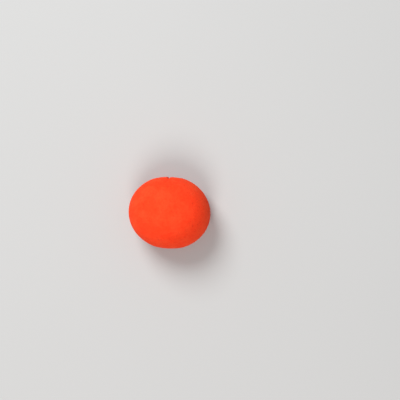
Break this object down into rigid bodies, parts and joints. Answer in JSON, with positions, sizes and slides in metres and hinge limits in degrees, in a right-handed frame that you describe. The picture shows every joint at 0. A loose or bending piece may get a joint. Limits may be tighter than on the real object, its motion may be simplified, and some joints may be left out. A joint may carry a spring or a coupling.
{
  "type": "clown nose",
  "caption": "Jumbo clown nose: an oval ball of soft red foam with a flat back, a pocket for the nose and a slit for its bridge.",
  "frame": {"origin": "middle of the flat back, on the surface that the ball rests on, below the middle of its oval", "axes": "+Z from the flat back to the front of the ball, which points away from the face when it is worn; +Y to the forehead side, where the slit is; +X along the longer width, to the wearer's left"},
  "size_m": [0.082, 0.0717, 0.0625],
  "materials": {
    "red_foam": "fully matte fine-celled red-orange foam"
  },
  "bodies": {
    "root": {"foam_ball": "red_foam"}
  },
  "joints": []
}
